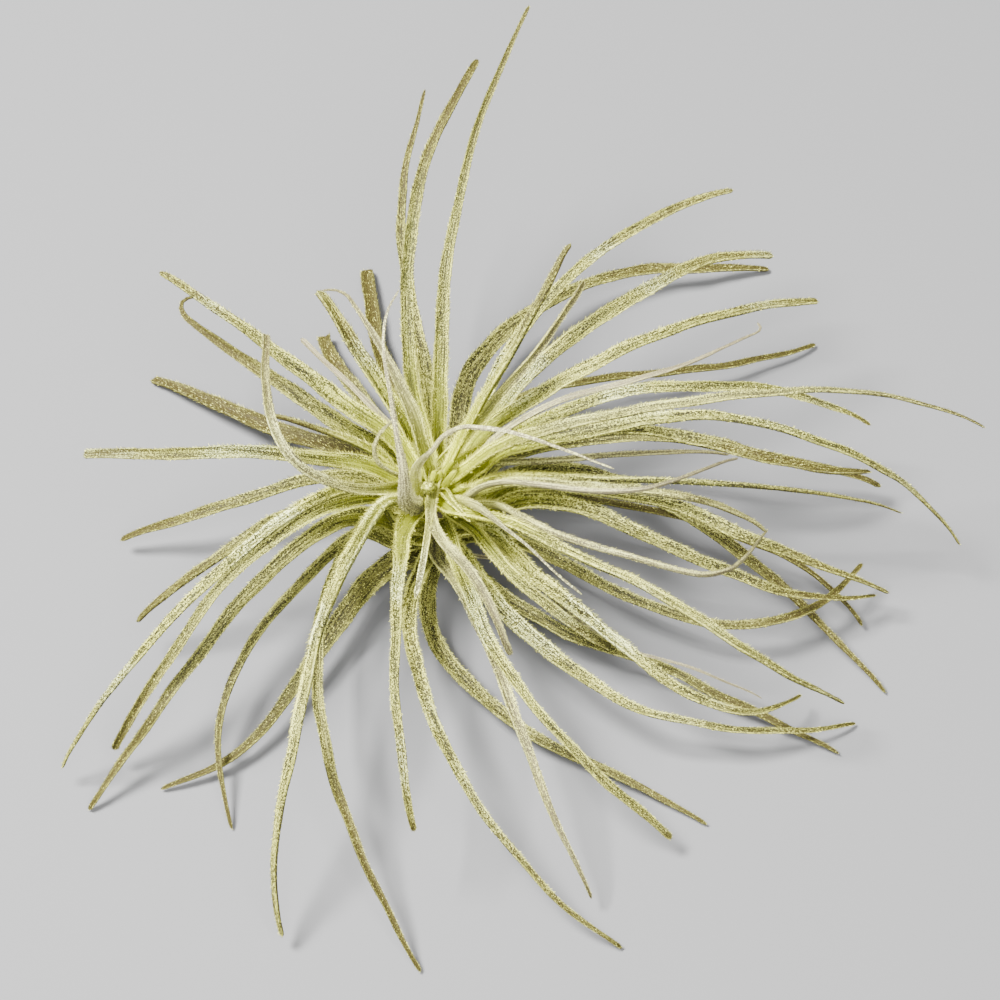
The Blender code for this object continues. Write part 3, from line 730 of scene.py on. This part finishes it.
# the corners of a section across a blade, from margin to margin, and across one that is rolled up
flatPlaces = (-1, -0.84, -0.5, -0.17, 0.17, 0.5, 0.84, 1)
rolledPlaces = (-1, -0.9, -0.75, -0.6, -0.45, -0.3, -0.15, 0, 0.15, 0.3, 0.45, 0.6, 0.75, 0.9, 1)


def unit(vectors):
    return vectors / np.linalg.norm(vectors, axis=-1, keepdims=True)


def facesOf(rows, count, upper):
    # a blade's faces and the edges of its margins, from rings of count points, of which the upper
    # ones lie on top from margin to margin, and a tip
    faces = []
    for k in range(upper - 1):
        # the cap at the root
        corners = (k, (count - k) % count, count - k - 1, k + 1)
        faces.append(tuple(dict.fromkeys(corners)))
    for row in range(rows - 1):
        low, high = row * count, (row + 1) * count
        for k in range(count):
            m = (k + 1) % count
            faces.append((low + k, low + m, high + m, high + k))
    last, tip = (rows - 1) * count, rows * count
    faces += [(last + k, last + (k + 1) % count, tip) for k in range(count)]
    margins = (0, upper - 1)
    rims = [(row * count + k, (row + 1) * count + k) for row in range(rows - 1) for k in margins]
    return faces, rims


def bladeOf(path, ups, widths, folds, traits, seed):
    # one blade from its midrib: points, faces, margins, and what its material and scales read
    rng = np.random.default_rng(seed)
    run = runAlong(path)
    share = run / run[-1]
    along = unit(np.gradient(path, axis=0))
    ups = unit(ups - along * (ups * along).sum(axis=1)[:, None])
    sides = np.cross(along, ups)
    wave = run / mm * rng.uniform(*blades["twistWaves"]) + rng.uniform(0, blades["anyPhase"])
    turn = blades["twist"] * np.sin(wave) * smoothstep(share, *blades["twistShare"])
    turn = turn[:, None]
    sides, ups = sides * np.cos(turn) + ups * np.sin(turn), ups * np.cos(turn) - sides * np.sin(turn)
    wave = run / mm * rng.uniform(*blades["wanderWaves"]) + rng.uniform(0, blades["anyPhase"])
    sway = np.sin(wave) * smoothstep(share, *blades["wanderShare"])
    path = path + sides * (sway * blades["wander"])[:, None]
    wave = run / mm * blades["swellWaves"] + rng.uniform(0, blades["anyPhase"])
    half = widths / 2 * (1 + blades["swell"] * np.sin(wave))
    left = np.clip((run[-1] - run) / (blades["tipLength"] * traits["taper"]), blades["tipLeast"], 1)
    half = half * np.sqrt(left * (2 - left))
    radius = half / np.sin(np.minimum(folds, math.pi / 2))
    keel = np.minimum(blades["keelThickness"], blades["keelShare"] * half)

    far = np.linalg.norm(path - heart, axis=1)
    dryFrom = 1 - traits["dry"] * blades["dryReach"]
    dryTo = 1 + blades["dryLeast"] - traits["dry"] * blades["dryFull"]
    dry = smoothstep(share, dryFrom, dryTo)
    dry = np.maximum(dry, traits["fade"] * smoothstep(share, *blades["fadeShare"]))
    lime = 1 - smoothstep(far, *blades["limeReach"])
    lime = lime * (1 - blades["limeAge"] * traits["age"]) * traits["lime"]
    inner = 1 - smoothstep(far, *blades["innerReach"])
    least = blades["narrowWool"]
    wool = (least + (1 - least) * smoothstep(half, *blades["narrow"])) * traits["wool"]
    wool = wool * (1 + blades["innerWool"] * inner)
    least = blades["paleLeast"]
    pale = traits["pale"] * (least + (1 - least) * smoothstep(far, *blades["paleReach"]))

    places = flatPlaces if folds.max() < blades["mostFlat"] else rolledPlaces
    ring = [(place, 0) for place in places] + [(place, 1) for place in places[-2:0:-1]]
    points, outward, tipward = [], [], []
    names = ("across", "aside", "edge", "under", "run", "dry", "lime", "pale", "wool", "scaliness")
    values = {key: [] for key in names}
    for place, under in ring:
        angle = (place * folds)[:, None]
        reach = (radius + under * keel * math.sqrt(1 - place**2))[:, None]
        lift = radius[:, None] - np.cos(angle) * reach
        points.append(path + sides * np.sin(angle) * reach + ups * lift)
        edge = abs(place) ** 3  # 0 in the channel, 1 at the margins
        outward.append((sides * np.cos(angle) + ups * np.sin(angle)) * np.sign(place) * edge)
        tipward.append(along)
        bare = inner * (blades["bareChannel"] - blades["bareEdge"] * edge) * traits["bare"]
        scaliness = (1 - bare) * (traits["underScales"] if under else 1)
        # painted shade on an underside, which the material reads as the attribute under
        shade = under * traits["underShade"]
        here = (place, place * half / mm, edge, shade, run / mm, dry, lime, pale, wool, scaliness)
        for key, value in zip(names, here):
            values[key].append(value + 0 * run)
    made = {key: np.stack(value, axis=1).reshape(-1) for key, value in values.items()}
    for key, value in (("age", traits["age"]), ("silver", traits["silver"]), ("number", seed)):
        made[key] = np.full(len(ring) * len(path), float(value))
    made["outward"] = np.stack(outward, axis=1).reshape(-1, 3)
    made["tipward"] = np.stack(tipward, axis=1).reshape(-1, 3)
    made = {key: np.concatenate((value, value[-1:])) for key, value in made.items()}
    corners = np.stack(points, axis=1).reshape(-1, 3)
    corners = np.vstack((corners, path[-1] + along[-1] * blades["tipCap"]))
    return corners, *facesOf(len(path), len(ring), len(places)), made


def meshOf(name, parts):
    # one mesh from several blades, with the attributes that the material and the scales read
    starts = np.cumsum([0] + [len(part[0]) for part in parts])
    faces, rims = [], set()
    for start, part in zip(starts, parts):
        faces += [tuple(start + k for k in face) for face in part[1]]
        rims |= {(start + a, start + b) for a, b in part[2]}
    mesh = bpy.data.meshes.new(name)
    mesh.from_pydata(np.concatenate([part[0] for part in parts]).tolist(), [], faces)
    mesh.validate()
    for key in parts[0][3]:
        values = np.concatenate([part[3][key] for part in parts])
        kind, field = ("FLOAT_VECTOR", "vector") if values.ndim == 2 else ("FLOAT", "value")
        layer = mesh.attributes.new(key, kind, "POINT")
        layer.data.foreach_set(field, values.astype(np.float32).ravel())
    margin = mesh.attributes.new("margin", "BOOLEAN", "EDGE")
    margin.data.foreach_set("value", [tuple(sorted(edge.vertices)) in rims for edge in mesh.edges])
    return mesh


def addPiece(name, parts, finish, scaleTree, node, seed):
    mesh = meshOf(name, parts)
    mesh.materials.append(finish)
    mesh.shade_smooth()
    piece = bpy.data.objects.new(name, mesh)
    bpy.context.scene.collection.objects.link(piece)
    spreadScales(piece, scaleTree, seed)
    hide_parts(node)
    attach(piece, "root")
    return sum(len(face.vertices) - 2 for face in piece.data.polygons)


def breadthSeen(curve, ups, breadths):
    # the width that looks as broad to the camera as the given breadths in pixels
    along = unit(np.gradient(curve, axis=0))
    squarely = np.abs((unit(np.cross(along, ahead)) * unit(np.cross(along, ups))).sum(axis=1))
    distance = ((curve - cameraPlace) @ ahead) / view["distance"]
    widths = (breadths - blades["fringeShare"]) * view["pixel"] * distance
    return widths / np.clip(squarely, blades["squarest"], 1)


def shifted(path, shifts):
    # moves a path level to the side, by as many pixels as the camera is to see
    line = path - cameraPlace
    line = line / (line @ ahead)[:, None]
    along = unit(np.gradient(np.column_stack((line @ rightward, -line @ upward)), axis=0))
    run = runAlong(path)
    steps = np.interp(run / run[-1], (0, *blades["shiftAt"]), (0, *shifts)) * view["pixel"]
    deep = -along[:, 0] * steps / math.sin(view["elevation"])
    return path + np.column_stack((-along[:, 1] * steps, deep, 0 * run))


def leafBlade(name, seed):
    rings, apex = stationsOf(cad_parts[name])
    rings = labelled(rings)
    path = np.vstack((rings[:, 1], apex))
    ups = unit(rings[:, 0] + rings[:, 2] - rings[:, 3] - rings[:, 5])
    silver, dry, pale, breadths, shifts = looks[name]
    path = shifted(path, shifts)
    path[1:-1] = smoothed(path, 1)[1:-1]
    young = smoothstep(path[0, 2], blades["oldRoot"], blades["youngRoot"])
    inner = (1 - smoothstep(runAlong(path), 0, blades["crownReach"]))[:, None] * young
    lift = np.clip(blades["crownTop"] - path[0, 2], 0, blades["crownLift"])
    pull = -blades["crownPull"]
    path = path + np.array((pull * path[0, 0], pull * path[0, 1], lift)) * inner
    inside = path[0] - unit(path[1] - path[0]) * blades["rootReach"]
    path = np.vstack((inside, path))
    curve, ups = curveThrough(path, np.vstack((ups[0], ups, ups[-1])), blades["spacing"])
    run = runAlong(curve)
    breadths = np.interp(run / run[-1], blades["breadthAt"], breadths)
    breadths = smoothed(breadths, blades["breadthSmoothing"])
    width = breadthSeen(curve, ups, breadths)
    base = smoothstep(run, 0, blades["sheathLength"])
    sheath = width.max() * blades["sheathShare"] * (1 - blades["sheathTaper"] * base)
    width = np.where(run < blades["sheathLength"], np.maximum(width, sheath), width)
    width = smoothed(width, blades["widthSmoothing"])
    folds = blades["sheathFold"] + (blades["fold"] - blades["sheathFold"]) * base
    age = 1 - (rings[0, 1, 2] - blades["oldestRoot"]) / blades["rootRange"]
    front = blades["limeFront"] if name.startswith("front") else 1
    traits = {
        "silver": silver,
        "dry": dry,
        "pale": pale,
        "age": float(np.clip(age, 0, 1)),
        "lime": (1 - blades["limePale"] * pale) * front,
        "fade": blades["fade"] - blades["silverFade"] * silver,
        "wool": 1 - blades["paleWool"] * pale,
        "underScales": blades["underScales"],
        # the painted shade on the undersides
        "underShade": 1,
        "bare": 1,
        "taper": 1,
    }
    return bladeOf(curve, ups, width, folds, traits, seed)


# the young leaves in the heart: pixel, width in pixels and height in mm at points along each; fold
# is half the angle that its section curls through, taper lengthens the rounding of its tip, and
# outside says that the camera sees the back of it
youngLeaves = {
    "knob": {
        "silver": 0.8, "pale": 0.1, "fold": 3.05, "taper": 2, "lime": 0.5, "outside": True,
        "points": (
            (430.5, 491, 9, 24), (430, 490, 11.5, 27), (429.5, 489, 13, 29.5), (429, 488.5, 13, 31.5),
        ),
    },
    "upper": {
        "silver": 1, "pale": 0.1, "fold": 2.7, "outside": True, "taper": 0.8,
        "points": (
            (431, 489, 6, 24), (430.5, 484, 7, 27), (432.5, 477.5, 7.5, 28.5), (435.7, 470.5, 7, 29.5),
        ),
    },
    "inner": {
        "silver": 0.6, "pale": 0, "fold": 2.7, "outside": True, "taper": 0.8,
        "points": (
            (438, 489, 6, 24), (437.5, 484, 6.5, 26), (438.7, 478, 7, 27.5), (440.3, 471.5, 6.5, 28.5),
        ),
    },
    "finger": {
        "silver": 1.1, "pale": 0.1, "fold": 2.5, "outside": True, "taper": 0.8,
        "points": (
            (440.5, 492, 7, 24), (442.5, 488.5, 7.5, 27), (447, 482.5, 8, 29), (451, 477.5, 8, 30.5),
            (456, 471, 7, 31.5),
        ),
    },
    "behind": {
        "silver": 0.8, "pale": 0, "fold": 2.2, "outside": True, "taper": 0.8,
        "points": (
            (442, 484, 6, 23), (444.5, 476, 6.5, 26), (447.5, 469, 6.5, 27.5), (453, 462, 6, 29),
        ),
    },
    "arch": {
        "silver": 1.4, "pale": 0.8, "fold": 1.3, "taper": 1.5, "outside": True, "lime": 0.9,
        "points": (
            (423, 503, 11, 23.5), (418, 497, 15, 26), (416, 488, 15, 29), (415, 478, 14, 32),
            (416.5, 468, 11, 35), (423, 459.5, 8.5, 38), (433, 450, 7.5, 41), (443, 437, 7.5, 43),
            (462, 427, 7.5, 45), (482, 427.5, 7.5, 46.5), (506, 431, 7, 47.5), (532, 439, 6.5, 48),
            (558, 448, 6, 48), (584, 457, 5.5, 47), (614, 468, 4.5, 46),
        ),
    },
    "loop": {
        "silver": 1, "pale": 0.4, "fold": 1.1, "taper": 1, "outside": True,
        "points": (
            (424, 486, 10, 23), (412, 480, 9, 28), (400, 476, 8.5, 32), (388, 470, 7.5, 35),
            (378, 461, 7.5, 37.5), (375, 449, 7.5, 39.5), (380, 434, 7, 41), (389, 424, 6.5, 42),
            (397, 417, 5, 42),
        ),
    },
    "tall": {
        "silver": 1.4, "pale": 0.8, "fold": 1.1, "taper": 2, "outside": True, "wool": 1, "lime": 0.3,
        "points": (
            (427, 504, 17, 23.5), (417, 509, 25, 26), (408, 503, 23, 30), (405, 493, 16, 34),
            (404, 480, 13, 38), (402.5, 463, 10.5, 42), (398.5, 440, 8.5, 46), (391, 400, 7.5, 50),
            (385, 362, 6.5, 53), (384, 335, 6, 54), (388, 309, 5.5, 54.5), (398, 290, 5, 54),
        ),
    },
    "hanging": {
        "silver": 1.05, "pale": 0.25, "fold": 1.1, "taper": 1,
        "points": (
            (432, 497, 6, 25), (431.3, 499.5, 15, 28), (430.7, 505, 14, 29.5), (429.8, 511, 11.5, 30.7),
            (428.6, 519, 9.5, 32), (427, 540, 9, 33.5), (424, 560, 9, 34.5), (420, 578, 8.5, 34.5),
            (415, 597, 7, 34),
        ),
    },
    "thread": {
        "silver": 1, "pale": 0.45, "fold": 1.4, "taper": 1.5, "outside": True,
        "points": (
            (446, 499, 9, 23.5), (451, 499, 10, 27), (458, 499.5, 10.5, 29), (469, 503, 10.5, 31.5),
            (484, 511.5, 9, 34), (500, 523, 7, 36), (519, 539, 6, 37.5), (549, 566, 5.5, 38),
            (581, 594, 5, 36),
        ),
    },
    "curled": {
        "silver": 1, "pale": 0.2, "fold": 2.2, "taper": 1,
        "points": (
            (436, 496, 9, 24), (440, 493.5, 10, 27.5), (445.5, 493, 10, 29.5), (452, 500.5, 8.5, 31),
            (460, 509, 7.5, 31), (470, 521, 6, 30),
        ),
    },
}
heartSettings = {
    "spacing": 0.7 * mm,
    "towardAxis": 0.6,  # how far a young leaf's channel turns to the axis, next to the camera
    "fringeShare": 3.8,  # pixels of a young leaf's width which are fringe
    "leastWidth": 1.5,
    "turnSmoothing": 6,
    "widthSmoothing": 2,
    "wool": 0.6,
    "bare": 0.3,
}


def youngBlade(row, seed):
    points = np.array(row["points"], float)
    path = np.array([placed(point[:2], point[3] * mm) for point in points])
    seen = np.maximum(points[:, 2] - heartSettings["fringeShare"], heartSettings["leastWidth"])
    widths = seen * view["pixel"]
    curve, values = curveThrough(path, widths[:, None], heartSettings["spacing"])
    inward = unit(curve * (-1, -1, 0) + 1e-9)  # a point on the axis has a direction too
    shown = -1 if row.get("outside") else 1  # the side of the leaf that the camera sees
    ups = unit(unit(cameraPlace - curve) * shown + inward * heartSettings["towardAxis"])
    ups = smoothed(ups, heartSettings["turnSmoothing"])
    folds = np.full(len(curve), float(row["fold"]))
    widths = smoothed(values[:, 0], heartSettings["widthSmoothing"])
    # the section's middle, not its channel, is laid on the curve
    radius = widths / 2 / math.sin(min(row["fold"], math.pi / 2))
    curve = curve - ups * (radius * (1 - math.cos(row["fold"])) / 2)[:, None]
    traits = {
        "silver": row["silver"],
        "dry": 0,
        "pale": row["pale"],
        "age": 0,
        "lime": row.get("lime", 1 - blades["limePale"] * row["pale"]),
        "fade": 0,
        "wool": row.get("wool", heartSettings["wool"]),
        "underScales": 1,
        "underShade": 0,
        "bare": heartSettings["bare"],
        "taper": row["taper"],
    }
    return bladeOf(curve, ups, widths, folds, traits, seed)


studio = {
    "floorSize": 4,
    "lightsAim": (0, 0, 0.02),
    "key": {"place": (-0.5, 0.05, 1.0), "size": 0.3, "power": 116},
    "fill": {"place": (0.15, -0.6, 1.0), "size": 0.7, "power": 44},
    "sky": (0.95, 0.97, 1, 1),
    "skyStrength": 0.38,
    "sensor": 36,
    "pixelsAcross": 1000,
}


def makeFloor():
    bpy.ops.mesh.primitive_plane_add(size=studio["floorSize"])
    floor = bpy.context.object
    floor.name = "floor"
    floor.data.materials.append(makeFloorFinish())


def makeLight(name):
    settings = studio[name]
    lamp = bpy.data.lights.new(name + " light", "AREA")
    lamp.size, lamp.energy = settings["size"], settings["power"]
    made = bpy.data.objects.new(name + " light", lamp)
    made.location = settings["place"]
    sight = Vector(studio["lightsAim"]) - Vector(settings["place"])
    made.rotation_euler = sight.to_track_quat("-Z", "Y").to_euler()
    bpy.context.scene.collection.objects.link(made)


def makeStudio():
    makeLight("key")
    makeLight("fill")
    world = bpy.data.worlds.new("studio")
    world.use_nodes = True
    background = world.node_tree.nodes["Background"]
    background.inputs["Color"].default_value = studio["sky"]
    background.inputs["Strength"].default_value = studio["skyStrength"]
    bpy.context.scene.world = world


def makeCamera():
    lens = bpy.data.cameras.new("camera")
    lens.sensor_width = studio["sensor"]
    seenAcross = studio["pixelsAcross"] * view["pixel"]
    lens.lens = lens.sensor_width * view["distance"] / seenAcross
    camera = bpy.data.objects.new("camera", lens)
    camera.location = cameraPlace
    camera.rotation_euler = (math.pi / 2 - view["elevation"], 0, 0)
    bpy.context.scene.collection.objects.link(camera)
    bpy.context.scene.camera = camera


makeCamera()
makeStudio()
makeFloor()
leafFinish = makeLeafFinish()
scaleTree = makeScaleTree(makeScaleFinish())
print("finishes and scales ready")

triangles = 0
for number, name in enumerate(sorted(looks)):
    parts = [leafBlade(name, number)]
    triangles += addPiece(name + "_blade", parts, leafFinish, scaleTree, name, number)
print("leaves made:", len(looks))

firstYoung = 100  # seeds from here on are the heart's
parts = [youngBlade(row, firstYoung + number) for number, row in enumerate(youngLeaves.values())]
triangles += addPiece("heart_blades", parts, leafFinish, scaleTree, "heart_leaves", firstYoung)
print("heart made, triangles:", triangles)

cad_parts["stem"].data.materials.clear()
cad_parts["stem"].data.materials.append(makeBarkFinish())
